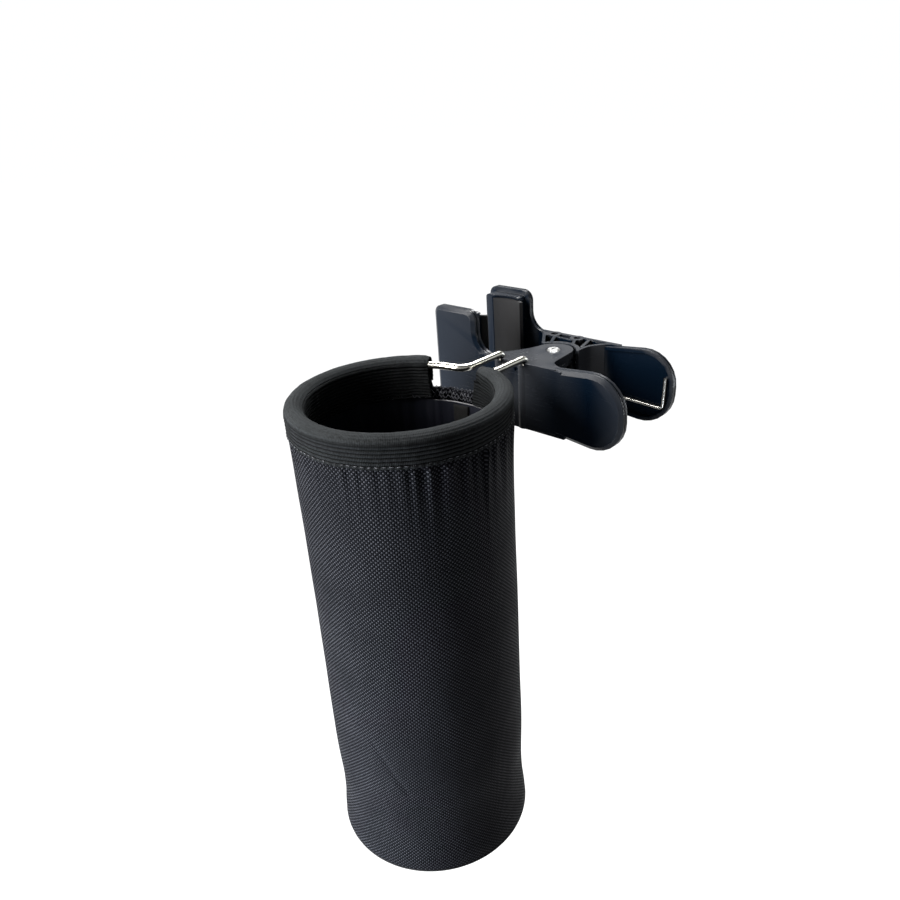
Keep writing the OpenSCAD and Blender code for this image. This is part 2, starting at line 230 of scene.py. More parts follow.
def stitches(name, places, length, radius):
    """Short rounded threads, each at a point and along a direction."""
    mesh = bpy.data.meshes.new(name)
    bm = bmesh.new()
    sides, rings = 6, 5
    for at, along, out in places:
        side = along.cross(out).normalized()
        loops = []
        for r in range(rings):
            t = r / (rings - 1)
            bulge = math.sin(math.pi * (0.12 + 0.76 * t))
            middle = at + along * (t - 0.5) * length + out * radius * (bulge - 0.6)
            loops.append([])
            for k in range(sides):
                turn = TAU * k / sides
                spoke = math.cos(turn) * side + math.sin(turn) * out
                loops[-1].append(bm.verts.new(middle + radius * bulge * spoke))
        for a, b in zip(loops, loops[1:]):
            for k in range(sides):
                bm.faces.new((a[k], a[(k + 1) % sides], b[(k + 1) % sides], b[k]))
        bm.faces.new(loops[0][::-1])
        bm.faces.new(loops[-1])
    bmesh.ops.recalc_face_normals(bm, faces=bm.faces)
    bm.to_mesh(mesh)
    bm.free()
    mesh.polygons.foreach_set("use_smooth", [True] * len(mesh.polygons))
    return link(name, mesh)


# ---- Materials --------------------------------------------------------------------------------


class Shader:
    """A Principled material with short ways to add nodes."""

    def __init__(self, name, **constants):
        self.material = bpy.data.materials.new(name)
        self.material.use_nodes = True
        self.tree = self.material.node_tree
        self.bsdf = next(n for n in self.tree.nodes if n.type == "BSDF_PRINCIPLED")
        for socket, value in constants.items():
            self.bsdf.inputs[socket.replace("_", " ")].default_value = value

    def node(self, kind, **settings):
        made = self.tree.nodes.new(kind)
        for name, value in settings.items():
            setattr(made, name, value)
        return made

    def join(self, source, target):
        self.tree.links.new(source, target)
        return target

    def math(self, operation, a, b=0.5):
        made = self.node("ShaderNodeMath", operation=operation)
        for socket, value in zip(made.inputs, (a, b)):
            if hasattr(value, "is_output"):
                self.join(value, socket)
            else:
                socket.default_value = value
        return made.outputs[0]

    def place(self, kind="Object"):
        return self.node("ShaderNodeTexCoord").outputs[kind]

    def noise(self, scale, detail=3.0, stretch=(1, 1, 1), rough=0.5):
        mapping = self.node("ShaderNodeMapping")
        mapping.inputs["Scale"].default_value = stretch
        self.join(self.place(), mapping.inputs["Vector"])
        made = self.node("ShaderNodeTexNoise")
        made.inputs["Scale"].default_value = scale
        made.inputs["Detail"].default_value = detail
        made.inputs["Roughness"].default_value = rough
        self.join(mapping.outputs[0], made.inputs["Vector"])
        return made.outputs["Fac"]

    def ramp(self, value, low, high, from_min=0.0, from_max=1.0):
        made = self.node("ShaderNodeMapRange")
        for name, number in (("From Min", from_min), ("From Max", from_max),
                             ("To Min", low), ("To Max", high)):
            made.inputs[name].default_value = number
        self.join(value, made.inputs["Value"])
        return made.outputs[0]

    def blend(self, factor, a, b):
        made = self.node("ShaderNodeMix", data_type="RGBA")
        self.join(factor, made.inputs["Factor"])
        for name, value in (("A", a), ("B", b)):
            socket = [s for s in made.inputs if s.name == name and s.type == "RGBA"][0]
            if hasattr(value, "is_output"):
                self.join(value, socket)
            else:
                socket.default_value = (*value, 1)
        return [s for s in made.outputs if s.type == "RGBA"][0]

    def colour(self, source):
        self.join(source, self.bsdf.inputs["Base Color"])

    def rough(self, source):
        self.join(source, self.bsdf.inputs["Roughness"])

    def bump(self, height, distance, strength=1.0, after=None):
        made = self.node("ShaderNodeBump")
        made.inputs["Strength"].default_value = strength
        made.inputs["Distance"].default_value = distance
        self.join(height, made.inputs["Height"])
        if after:
            self.join(after, made.inputs["Normal"])
        self.join(made.outputs[0], self.bsdf.inputs["Normal"])
        return made.outputs[0]


def woven(name, dark, light, pitch, relief):
    """Plain weave of coarse nylon, with a painted sheen on every second float and painted shade on the other
    floats and in the gaps.
    """
    s = Shader(name, Specular_IOR_Level=0.02)
    split = s.node("ShaderNodeSeparateXYZ")
    s.join(s.place("UV"), split.inputs[0])
    across = s.math("SINE", s.math("MULTIPLY", split.outputs[0], math.pi / pitch))
    along = s.math("SINE", s.math("MULTIPLY", split.outputs[1], math.pi / pitch))
    cell = s.math("MULTIPLY", across, along)
    dome = s.math("POWER", s.math("ABSOLUTE", cell), 0.6)
    on_top = s.ramp(cell, 0, 1, 0.02, 0.42)
    patches = s.noise(38, 4)
    # painted sheen: floats lying one way are coloured light, most at their middles; the rest stay dark as painted
    # shade
    painted_float_sheen = s.math("MULTIPLY", on_top, dome)
    painted_float_sheen = s.math("MULTIPLY", painted_float_sheen, s.ramp(patches, 0.7, 1.2, 0.3, 0.7))
    s.colour(s.blend(painted_float_sheen, dark, light))
    s.rough(s.ramp(painted_float_sheen, 0.7, 0.40))
    height = s.math("ADD", dome, s.math("MULTIPLY", on_top, 0.5))
    s.bump(height, relief)
    return s.material


def elastic_material():
    """Ribbed elastic: matte yarn with painted shade in the grooves and a painted highlight over the roll, and fine
    knit lines across the ribs.
    V on the flat strip grows from the outer edge, and runs below zero from the inner one."""
    s = Shader("ribbed_elastic", Specular_IOR_Level=0.03)
    split = s.node("ShaderNodeSeparateXYZ")
    s.join(s.place("UV"), split.inputs[0])
    across, along = split.outputs[1], split.outputs[0]
    wave = s.math("COSINE", s.math("MULTIPLY", across, TAU / RIB_PITCH))
    # painted highlight over the roll round the wire, and painted shade in the grooves between the ribs
    painted_roll_highlight = s.ramp(across, 0, 1.25, SKIRT_W, SKIRT_W + RIB_PITCH)
    painted_rib_shade = s.math("MAXIMUM", s.ramp(wave, 0.52, 0, -0.9, 0.05), painted_roll_highlight)
    knit = s.math("SINE", s.math("MULTIPLY", along, TAU / (0.75 * MM)))
    yarn = s.math("SINE", s.math("MULTIPLY", across, TAU / (0.62 * MM)))
    fuzz = s.noise(750, 4, rough=0.65)
    patches = s.noise(60, 4)
    yarns = s.math("ADD", s.math("MULTIPLY", knit, 0.15), fuzz)
    tone = s.math("MULTIPLY", painted_rib_shade, s.ramp(yarns, 0.1, 1.5, 0.25, 0.75))
    tone = s.math("MULTIPLY", tone, s.ramp(patches, 0.7, 1.15, 0.3, 0.7))
    s.colour(s.blend(tone, (0.0001, 0.0002, 0.0003), (0.0092, 0.0102, 0.0108)))
    s.rough(s.ramp(fuzz, 0.72, 0.92))
    height = s.math("ADD", s.math("MULTIPLY", knit, 0.3),
                    s.math("ADD", s.math("MULTIPLY", yarn, 0.3), s.math("MULTIPLY", fuzz, 0.8)))
    s.bump(height, 0.10 * MM)
    return s.material


def lining_material():
    s = Shader("coated_lining", Specular_IOR_Level=0.25)
    folds_and_painted_shade = s.noise(60, 5, stretch=(1, 1, 0.35))
    fine = s.noise(1400, 2)
    # painted shade: the colour darkens in the hollows of the creases that the bump raises
    s.colour(s.blend(folds_and_painted_shade, (0.0014, 0.0016, 0.0028), (0.0044, 0.0050, 0.0085)))
    s.rough(s.ramp(folds_and_painted_shade, 0.28, 0.48, 0.3, 0.7))
    s.bump(fine, 0.04 * MM, after=s.bump(folds_and_painted_shade, 0.5 * MM))
    return s.material


def tape_material(name, tone):
    """Narrow woven tape with a diagonal twill."""
    s = Shader(name, Specular_IOR_Level=0.10)
    wave = s.node("ShaderNodeTexWave", wave_type="BANDS", bands_direction="DIAGONAL")
    wave.inputs["Scale"].default_value = 420
    wave.inputs["Distortion"].default_value = 0.4
    s.join(s.place(), wave.inputs["Vector"])
    s.colour(s.blend(wave.outputs["Fac"], [tone * 0.4] * 3, [tone] * 3))
    s.rough(s.ramp(s.noise(500), 0.7, 0.95))
    s.bump(wave.outputs["Fac"], 0.12 * MM)
    return s.material


def thread_material():
    s = Shader("sewing_thread", Specular_IOR_Level=0.15)
    twist = s.noise(2600, 2, stretch=(1, 1, 2))
    s.colour(s.blend(twist, (0.004, 0.0045, 0.006), (0.050, 0.051, 0.058)))
    s.rough(s.ramp(twist, 0.5, 0.75))
    s.bump(twist, 0.06 * MM)
    return s.material


def plastic_material():
    """Satin black moulding: fine spark texture, faint flow marks and a painted highlight that lightens its sharp
    edges.
    """
    s = Shader("moulded_plastic", Specular_IOR_Level=0.07)
    flow = s.noise(22, 4, stretch=(1, 1, 1.6))
    grain = s.noise(1500, 3)
    scuffs = s.noise(160, 6, stretch=(1, 1, 7), rough=0.7)
    tone = s.blend(flow, (0.0004, 0.0016, 0.0038), (0.0008, 0.0025, 0.0056))
    # painted highlight: sharp edges are coloured lighter
    pointed = s.node("ShaderNodeNewGeometry").outputs["Pointiness"]
    painted_edge_highlight = s.ramp(pointed, 0, 1, 0.52, 0.60)
    s.colour(s.blend(painted_edge_highlight, tone, (0.011, 0.012, 0.014)))
    s.rough(s.math("ADD", s.ramp(flow, 0.20, 0.28, 0.3, 0.7), s.ramp(scuffs, 0.0, 0.10, 0.55, 0.8)))
    edge = s.node("ShaderNodeBevel", samples=4)
    edge.inputs["Radius"].default_value = 0.45 * MM
    s.bump(grain, 0.018 * MM, after=edge.outputs[0])
    return s.material


def rubber_material():
    s = Shader("jaw_rubber", Specular_IOR_Level=0.12)
    speckle = s.noise(700, 4)
    s.colour(s.blend(speckle, (0.0035, 0.0036, 0.0040), (0.0085, 0.0086, 0.0092)))
    s.rough(s.ramp(speckle, 0.75, 0.95))
    s.bump(speckle, 0.08 * MM)
    return s.material


def metal_material(name, base, low, high, streaks):
    """Plated or drawn steel with faint polishing lines."""
    s = Shader(name, Metallic=1.0)
    lines = s.noise(streaks, 4, stretch=(1, 1, 0.15))
    stain = s.noise(90, 4)
    dull = [c * 0.82 for c in base]
    s.colour(s.blend(s.ramp(stain, 0, 1, 0.45, 0.75), base, dull))
    s.rough(s.ramp(lines, low, high, 0.3, 0.7))
    s.bump(stain, 0.02 * MM, 0.2)
    return s.material


def board_material():
    s = Shader("stiff_board", Specular_IOR_Level=0.3)
    fibres = s.noise(300, 5, stretch=(1, 4, 1))
    s.colour(s.blend(fibres, (0.05, 0.048, 0.045), (0.13, 0.125, 0.118)))
    s.rough(s.ramp(fibres, 0.8, 0.95))
    s.bump(fibres, 0.1 * MM)
    return s.material


# the light colour is the painted sheen on the floats, the dark one painted shade
FABRIC = woven("coarse_nylon", (0.0001, 0.0002, 0.0007), (0.0174, 0.0180, 0.0210),
               WEAVE_PITCH, 0.26 * MM)
ELASTIC = elastic_material()
LINING = lining_material()
TAPE = tape_material("seam_tape_weave", 0.003)
THREAD = thread_material()
PLASTIC = plastic_material()
RUBBER = rubber_material()
NICKEL = metal_material("nickel_plate", (0.50, 0.49, 0.44), 0.16, 0.24, 700)
ZINC = metal_material("zinc_plate", (0.34, 0.34, 0.335), 0.24, 0.36, 500)
SPRING = metal_material("drawn_spring_wire", (0.26, 0.255, 0.24), 0.22, 0.34, 900)
BOARD = board_material()


def finish_piece(obj, material, body, slot, *replaced):
    """Gives a piece its material and body, and hides the CAD nodes that it stands for. The slot argument is not
    used.
    """
    obj.data.materials.clear()
    obj.data.materials.append(material)
    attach(obj, body)
    if replaced:
        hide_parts(*replaced)
    return obj


# ---- Camera, floor and light ------------------------------------------------------------------

CAMERA_AZIMUTH = math.radians(48)
CAMERA_BACK = 365.7 * MM
CAMERA_UP = 139.7 * MM
CAMERA_YAW = math.radians(3.61)
CAMERA_PITCH = math.radians(25.36)
CAMERA_ROLL = math.radians(-3.84)
CAMERA_LENS = 32.17
CAMERA_SENSOR = 36
AIM_BESIDE = (20 * MM, 50 * MM)     # the lights aim between the pouch and the clamp
FLOOR_HALF, FLOOR_BELOW = 8.0, 0.30


def make_camera():
    data = bpy.data.cameras.new("camera")
    data.lens = CAMERA_LENS
    data.sensor_width = CAMERA_SENSOR
    data.clip_start = 0.01
    camera = bpy.data.objects.new("camera", data)
    bpy.context.scene.collection.objects.link(camera)
    heading = CAMERA_AZIMUTH - CAMERA_YAW + math.pi / 2
    flat = Vector((math.cos(heading), math.sin(heading), 0))
    forward = flat * math.cos(CAMERA_PITCH) - Vector((0, 0, math.sin(CAMERA_PITCH)))
    right = forward.cross(Vector((0, 0, 1))).normalized()
    up = right.cross(forward)
    tilted = math.cos(CAMERA_ROLL) * right + math.sin(CAMERA_ROLL) * up
    upright = math.cos(CAMERA_ROLL) * up - math.sin(CAMERA_ROLL) * right
    turn = Matrix((tilted, upright, -forward)).transposed().to_4x4()
    back = Vector((math.sin(CAMERA_AZIMUTH), -math.cos(CAMERA_AZIMUTH), 0)) * CAMERA_BACK
    place = AXIS + back + Vector((0, 0, RIM_Z + CAMERA_UP))
    camera.matrix_world = Matrix.Translation(place) @ turn
    bpy.context.scene.camera = camera


def area_light(name, azimuth, elevation, distance, size, power, tint=(1, 1, 1), target=-120 * MM):
    """A square soft box that faces the pouch from an azimuth, counted from the camera's."""
    data = bpy.data.lights.new(name, "AREA")
    data.size = size
    data.energy = power
    data.color = tint
    light = bpy.data.objects.new(name, data)
    bpy.context.scene.collection.objects.link(light)
    light.visible_camera = False
    a, e = CAMERA_AZIMUTH + math.radians(azimuth), math.radians(elevation)
    back = Vector((math.sin(a) * math.cos(e), -math.cos(a) * math.cos(e), math.sin(e)))
    light.location = AXIS + Vector((*AIM_BESIDE, target)) + back * distance
    light.rotation_mode = "QUATERNION"
    light.rotation_quaternion = (-back).to_track_quat("-Z", "Y")


def make_stage():
    # it glows evenly, like a light table, so no shadow or falloff shows on it
    s = Shader("pale_floor", Specular_IOR_Level=0.0,
               Emission_Color=(1, 1, 1, 1), Emission_Strength=1.0)
    s.colour(s.blend(s.noise(1.5, 3), (0.05, 0.05, 0.05), (0.06, 0.06, 0.06)))
    s.rough(s.ramp(s.noise(30, 3), 0.8, 0.9))
    mesh = bpy.data.meshes.new("floor")
    corners = ((-1, -1), (1, -1), (1, 1), (-1, 1))
    mesh.from_pydata([(FLOOR_HALF * x, FLOOR_HALF * y, FLOOR_Z - FLOOR_BELOW) for x, y in corners],
                     [], [(0, 1, 2, 3)])
    floor = link("floor", mesh)
    mesh.materials.append(s.material)
    world = bpy.data.worlds.new("studio")
    bpy.context.scene.world = world
    world.use_nodes = True
    background = next(n for n in world.node_tree.nodes if n.type == "BACKGROUND")
    background.inputs["Color"].default_value = (0.98, 0.99, 1.0, 1)
    # white round the horizon, much dimmer overhead
    tree = world.node_tree
    height = tree.nodes.new("ShaderNodeSeparateXYZ")
    tree.links.new(tree.nodes.new("ShaderNodeTexCoord").outputs["Generated"], height.inputs[0])
    fade = tree.nodes.new("ShaderNodeMapRange")
    for socket, value in (("From Min", 0.26), ("From Max", 0.36),
                          ("To Min", 1.02), ("To Max", 0.20)):
        fade.inputs[socket].default_value = value
    tree.links.new(height.outputs["Z"], fade.inputs["Value"])
    tree.links.new(fade.outputs[0], background.inputs["Strength"])
    bpy.context.scene.view_settings.view_transform = "Standard"
    area_light("key", -78, 27, 0.9, 0.6, 54, (1.0, 0.98, 0.96))
    area_light("low", -64, -12, 0.55, 0.3, 18, (0.82, 0.90, 1.0), target=-260 * MM)
    area_light("top", 165, 60, 0.9, 0.5, 36)
    area_light("side", 112, 0, 1.0, 0.35, 5, (0.88, 0.94, 1.0))


make_camera()
make_stage()

# ---- Pouch: outer wall ------------------------------------------------------------------------

VIEW_ANGLE = CAMERA_AZIMUTH - math.pi / 2     # the side of the pouch that faces the front
WALL_COLUMNS = 540
WALL_ROWS = 170
WALL_LOW = FLOOR_Z + 0.6 * MM
PUCKER_PITCH = 8.2 * MM
PUCKER_LENGTH = 12 * MM
WAIST_DEPTH = 0.9 * MM
FLARE = 0.8 * MM
DRAPE = 0.55 * MM
PANEL_DEPTH, PANEL_AT, PANEL_HALF = 0.7 * MM, VIEW_ANGLE + 0.42, 0.24
TUCK = 0.5 * MM
CREASE_DEPTH = 0.45 * MM


def around(angle, scale, seed, detail=2):
    """Smooth noise round the pouch, from -1 to 1, that closes on itself."""
    place = Vector((math.cos(angle) * scale, math.sin(angle) * scale, seed))
    return noise.fractal(place, 1.0, 2.0, detail)


def gather(angle, below):
    """How far the cloth stands out just under the binding, where the stitching draws it in."""
    fade = smooth(below / (2.5 * MM)) * math.exp(-below / PUCKER_LENGTH)
    fine = around(angle, 9.5, 3.1, 3)
    shift = 3.5 * around(angle, 3.6, 8.7)
    puckers = 0.5 + 0.5 * math.sin(TAU * angle * BAG_R / PUCKER_PITCH + shift)
    puckers *= 0.5 + 0.9 * abs(around(angle, 4.5, 5.9))
    side = 0.35 + 0.65 * smooth(0.4 + 1.3 * math.sin(angle - VIEW_ANGLE))
    return GATHER_DEPTH * fade * side * (0.75 * fine + 0.9 * puckers - 0.3)


def in_gap(angle):
    """1 inside the gap of the binding, 0 outside it, with a short slope at each end."""
    a = angle % TAU
    slope = math.radians(3.5)
    return smooth((a - GAP_FROM + slope) / slope) * smooth((GAP_TO + slope - a) / slope)


def crease(angle, z):
    """A shallow slanting crease low on the left of the pouch."""
    start, end = Vector((-36 * MM, FLOOR_Z + 98 * MM)), Vector((-12 * MM, FLOOR_Z + 54 * MM))
    along = (end - start).normalized()
    point = Vector((away(angle, VIEW_ANGLE) * BAG_R, z)) - start
    t = point.dot(along) / (end - start).length
    off = point.x * along.y - point.y * along.x
    return smooth(t * 5) * smooth((1 - t) * 5) * bell(off, 1.6 * MM)


def wall_radius(angle, z):
    height = z - FLOOR_Z
    waist = WAIST_DEPTH * bell(height - 34 * MM, 20 * MM)
    flare = FLARE * smooth((20 * MM - height) / (16 * MM))
    middle = smooth(height / (50 * MM)) * smooth((SKIRT_Z - z) / (45 * MM))
    drape = DRAPE * middle * around(angle, 1.5, z * 9, 3)
    panel = PANEL_DEPTH * middle * bell(away(angle, PANEL_AT), PANEL_HALF)
    tucked = TUCK * smooth((z - SKIRT_Z + 2 * MM) / (3 * MM)) * (1 - in_gap(angle))
    return (BAG_R + WALL_PROUD - waist + flare + drape - panel + gather(angle, max(SKIRT_Z - z, 0))
            - tucked - CREASE_DEPTH * crease(angle, z))


def wall_top(angle):
    """The wall ends inside the binding, and lower, in a slightly uneven edge, in its gap."""
    bare = HEM_Z + 1.0 * MM + 0.8 * MM * around(angle, 6, 1.4)
    return WALL_TOP + (bare - WALL_TOP) * in_gap(angle)


def make_wall():
    def place(i, j):
        angle = TAU * i / WALL_COLUMNS
        # the rows crowd towards the gathers at the top
        share = 1 - (1 - j / (WALL_ROWS - 1)) ** 1.25
        z = WALL_LOW + (wall_top(angle) - WALL_LOW) * share
        return polar(angle, wall_radius(angle, z), z)

    # whole cells of the weave round the pouch, so that it meets itself at the seam
    cells = 2 * round(TAU * BAG_R / WEAVE_PITCH / 2)
    stretch = cells * WEAVE_PITCH / (TAU * BAG_R)
    wall = grid("pouch_wall", WALL_COLUMNS, WALL_ROWS, place, wrap=True,
                uv=lambda i, j, point: (TAU * BAG_R * stretch * i / WALL_COLUMNS, point.z))
    solidify(wall, FABRIC_T)
    finish_piece(wall, FABRIC, "pouch", "outer_fabric", "bag_wall")
    return wall


wall = make_wall()

# ---- Pouch: lining, hem, bottom ---------------------------------------------------------------

LINING_LOW = FLOOR_Z + 5 * MM
LINING_T = 0.25 * MM
LINING_INSET = 1.7 * MM
LINING_FOLD = 2.6 * MM
LINING_SWAY = 0.5 * MM


def lining_radius(angle, z):
    """Soft folds that are deepest a little under the hem and nearly flat along the seam."""
    hang = smooth((HEM_Z - z) / (30 * MM)) * smooth((z - FLOOR_Z) / (60 * MM))
    near_top = bell(HEM_Z - 14 * MM - z, 26 * MM)
    flat = 1 - 0.75 * bell(away(angle, SEAM_ANGLE), 0.16)
    folds = LINING_FOLD * flat * abs(around(angle, 5.5, 11.0)) * (0.35 * hang + 0.75 * near_top)
    sway = LINING_SWAY * hang * abs(around(angle + z * 3, 2.5, 5.0))
    return BAG_R - LINING_INSET - folds - sway


def make_lining():
    columns, rows = 360, 110

    def place(i, j):
        angle = TAU * i / columns
        high, bare = WALL_TOP - 6 * MM, HEM_Z - 3.5 * MM
        top = high + (bare - high) * in_gap(angle)
        z = LINING_LOW + (top - LINING_LOW) * (1 - (1 - j / (rows - 1)) ** 1.2)
        return polar(angle, lining_radius(angle, z), z)

    lining = grid("pouch_lining", columns, rows, place, wrap=True, flip=True)
    solidify(lining, LINING_T, 1)
    finish_piece(lining, LINING, "pouch", "lining_fabric", "bag_lining")
    return lining


def make_hem():
    """The folded top edge of the fabric, bare where the binding has its gap."""
    columns, rows = 120, 30
    start, end = GAP_FROM - math.radians(3), GAP_TO + math.radians(3)
    outside, fold, inside = 3.0 * MM, 0.95 * MM, 6.0 * MM
    bend = math.pi * fold
    thickness = 0.5 * MM

    def turn_at(i):
        return start + (end - start) * i / (columns - 1)

    def place(i, j):
        angle = turn_at(i)
        top = wall_top(angle) + 1.0 * MM
        centre_r = wall_radius(angle, top - 2 * MM) - 0.35 * MM
        s = (outside + bend + inside) * j / (rows - 1)
        if s < outside:
            return polar(angle, centre_r + fold, top - outside + s)
        if s < outside + bend:
            turn = (s - outside) / fold
            return polar(angle, centre_r + fold * math.cos(turn), top + fold * math.sin(turn))
        down = s - outside - bend
        ripple = 0.7 * MM * around(angle, 14, 2.2) * down / inside
        lip = 0.5 * MM * smooth((down - inside + 1.5 * MM) / (1.5 * MM))
        down *= 1 + 0.12 * around(angle, 8, 6.6)
        return polar(angle, centre_r - fold - ripple + lip, top - down)

    hem = grid("folded_hem", columns, rows, place,
               uv=lambda i, j, point: (turn_at(i) * BAG_R, j * 0.5 * MM))
    solidify(hem, thickness, 0)
    finish_piece(hem, FABRIC, "pouch", "outer_fabric", "top_hem")
    return hem


def make_bottom():
    """The flat base: fabric outside, smooth lining inside, and the thin edge binding round it."""
    rings = [0.04, 0.12, 0.24, 0.38, 0.52, 0.66, 0.78, 0.88, 0.94, 0.98, 1.0]
    columns, sides = 180, 14
    flat_rim = 0.97     # beyond this share of the radius the base stays level
    fabric_t, lining_t = 0.5 * MM, 0.4 * MM
    piping_r = 0.95 * MM

    def under(i, j):
        angle, share = TAU * i / columns, rings[j]
        sag = 0.35 * MM * (1 - share ** 2) + 0.2 * MM * around(angle, share * 3 + 0.1, 4.4)
        z = FLOOR_Z + 0.45 * MM - sag * (share < flat_rim)
        return polar(angle, (BAG_R - 0.3 * MM) * share, z)

    base = grid("pouch_base", columns, len(rings), under, wrap=True,
                uv=lambda i, j, point: (point.x, point.y), flip=True)
    close_centre(base, len(rings), columns)
    solidify(base, fabric_t)
    finish_piece(base, FABRIC, "pouch", "outer_fabric", "bag_bottom")

    def inside(i, j):
        angle, share = TAU * i / columns, rings[j]
        lift = 0.8 * MM * abs(around(angle, share * 4 + 0.2, 9.9)) * (share < flat_rim)
        turn_up = 1.0 * MM * smooth((share - 0.9) * 10)
        return polar(angle, (BAG_R - 2.4 * MM) * share, FLOOR_Z + 4.3 * MM + lift + turn_up)

    inner = grid("base_lining", columns, len(rings), inside, wrap=True)
    close_centre(inner, len(rings), columns)
    solidify(inner, lining_t)
    finish_piece(inner, LINING, "pouch", "lining_fabric", "bottom_lining")

    def piping(i, j):
        angle, turn = TAU * i / columns, TAU * j / (sides - 1)
        r = piping_r * (1 + 0.05 * around(angle, 30, 2.0))
        return polar(angle, BAG_R + 0.5 * MM + r * math.cos(turn),
                     FLOOR_Z + 1.15 * MM + r * math.sin(turn))

    edge = grid("base_edge", columns, sides, piping, wrap=True, flip=True)
    finish_piece(edge, TAPE, "pouch", "seam_tape", "bottom_piping")


lining = make_lining()
hem = make_hem()
make_bottom()

# ---- Pouch: elastic binding -------------------------------------------------------------------


def binding_profile():
    """Outline of the folded elastic in (r, z), from its outer edge over the roll to its inner
    edge, and the length along it to each point."""
    outer_low = Vector((BAG_R + 0.55 * MM, SKIRT_Z))
    outer_high = Vector((ROLL_AT_R + ROLL_R - 0.05 * MM, ROLL_Z - 0.4 * MM))
    inner_high = Vector((ROLL_AT_R - ROLL_R + 0.05 * MM, ROLL_Z - 0.6 * MM))
    inner_low = Vector((BAG_R - 4.0 * MM, INNER_FOLD_Z + 0.3 * MM))
    points = [outer_low.lerp(outer_high, k / OUTER_STEPS) for k in range(OUTER_STEPS)]
    for k in range(ROLL_STEPS + 1):
        turn = math.pi * k / ROLL_STEPS
        points.append(Vector((ROLL_AT_R + ROLL_R * math.cos(turn),
                              ROLL_Z + ROLL_TALL * math.sin(turn))))
    points += [inner_high.lerp(inner_low, k / INNER_STEPS) for k in range(1, INNER_STEPS + 1)]
    lengths = [0.0]
    for a, b in zip(points, points[1:]):
        lengths.append(lengths[-1] + (b - a).length)
    return points, lengths


def profile_normal(points, j):
    a, b = points[max(j - 1, 0)], points[min(j + 1, len(points) - 1)]
    along = (b - a).normalized()
    return Vector((along.y, -along.x))


def make_binding():
    points, lengths = binding_profile()
    total = lengths[-1]
    columns = 560

    def strip(j):
        """Place across the flat strip from its outer edge, or below zero from its inner edge."""
        s = lengths[j]
        return s if j < OUTER_STEPS + ROLL_STEPS - 2 else s - total

    def place(i, j):
        s, point, v = lengths[j], points[j], strip(j)
        share = i / (columns - 1)
        # the inner fold reaches into the gap at its right end
        inner = smooth((s - total * 0.5) / (total * 0.5))
        angle = GAP_TO + (BINDING_TURN + math.radians(7) * inner) * share
        on_skirt = 1.0 if v < 0 else smooth((SKIRT_W + 0.5 * MM - v) / (1 * MM))
        rib = RIB_DEPTH * on_skirt * (0.5 - 0.5 * math.cos(TAU * v / RIB_PITCH))
        fine = 0.09 * MM * math.cos(TAU * s / (1.45 * MM)) * (1 - on_skirt)
        wave = 0.25 * MM * around(angle, 7, 0.5 + s * 40)
        wave += 0.12 * MM * around(angle, 22, 7 + s * 60)
        at_edge = smooth((2.2 * MM - s) / (1.5 * MM))
        hem_pull = 0.25 * MM * math.cos(TAU * angle * BAG_R / STITCH_PITCH) * at_edge
        lap = 0.35 * MM * smooth((SKIRT_W - 0.2 * MM - v) / (0.5 * MM)) if v > 0 else 0
        normal = profile_normal(points, j)
        out = rib + fine + wave * (0.4 + 0.6 * on_skirt) - hem_pull - lap
        r, z = point.x + normal.x * out, point.y + normal.y * out
        # the roll is pinched to a blunt tip at each end, where the rod leaves it
        pinch = max(1 - smooth((1 - share) / 0.03), 0.6 * (1 - smooth(share / 0.012)))
        r += (ROLL_AT_R - r) * 0.30 * pinch * (z > ROLL_Z - 4 * MM)
        z += (ROLL_Z - z) * 0.30 * pinch * (z > ROLL_Z)
        z += 0.35 * MM * around(angle, 5, 3.3) * (1 - smooth((z - SKIRT_Z) / (8 * MM)))
        z += 1.0 * MM * around(angle, 9, 6.1) * inner ** 4
        return polar(angle, r, z)

    binding = grid("ribbed_binding", columns, len(points), place, flip=True,
                   uv=lambda i, j, point: (BINDING_TURN * BAG_R * i / (columns - 1), strip(j)))
    solidify(binding, ELASTIC_T)
    finish_piece(binding, ELASTIC, "pouch", "elastic", "rim_binding")
    return binding


def make_core():
    """The fabric wrapped round the wire inside the binding, seen only at the binding's cut ends."""
    columns, sides = 260, 16
    inset = math.radians(0.7)
    core_r, thickness = ROLL_TALL - ELASTIC_T - 0.3 * MM, 0.6 * MM

    def place(i, j):
        angle = GAP_TO + inset + (BINDING_TURN - 2 * inset) * i / (columns - 1)
        turn = TAU * j / (sides - 1)
        r = core_r + 0.10 * MM * around(angle, 20, turn)
        return polar(angle, ROLL_AT_R + r * math.cos(turn), ROLL_Z + r * math.sin(turn))

    core = grid("wire_sleeve", columns, sides, place, flip=True)
    solidify(core, thickness)
    finish_piece(core, TAPE, "pouch", "seam_tape")


def spaced(start, turn, pitch):
    """Angles of the stitches that fit round the pouch from start, over a turn."""
    count = int(turn * BAG_R / pitch)
    return [start + turn * (k + 0.5) / count for k in range(count)]


def make_rim_stitches():
    """Thread along the binding's lower edge."""
    places = []
    for k, angle in enumerate(spaced(GAP_TO, BINDING_TURN, STITCH_PITCH)):
        radius = BAG_R + 1.15 * MM + 0.12 * MM * around(angle, 22, 7)
        z = SKIRT_Z + 1.5 * MM + 0.30 * MM * around(angle, 5, 3.3)
        slant = 0.10 * (-1) ** k
        places.append((polar(angle, radius, z), sideways(angle, 1, slant), outward(angle)))
    thread = stitches("binding_stitches", places, 2.0 * MM, 0.20 * MM)
    finish_piece(thread, THREAD, "pouch", "seam_tape")


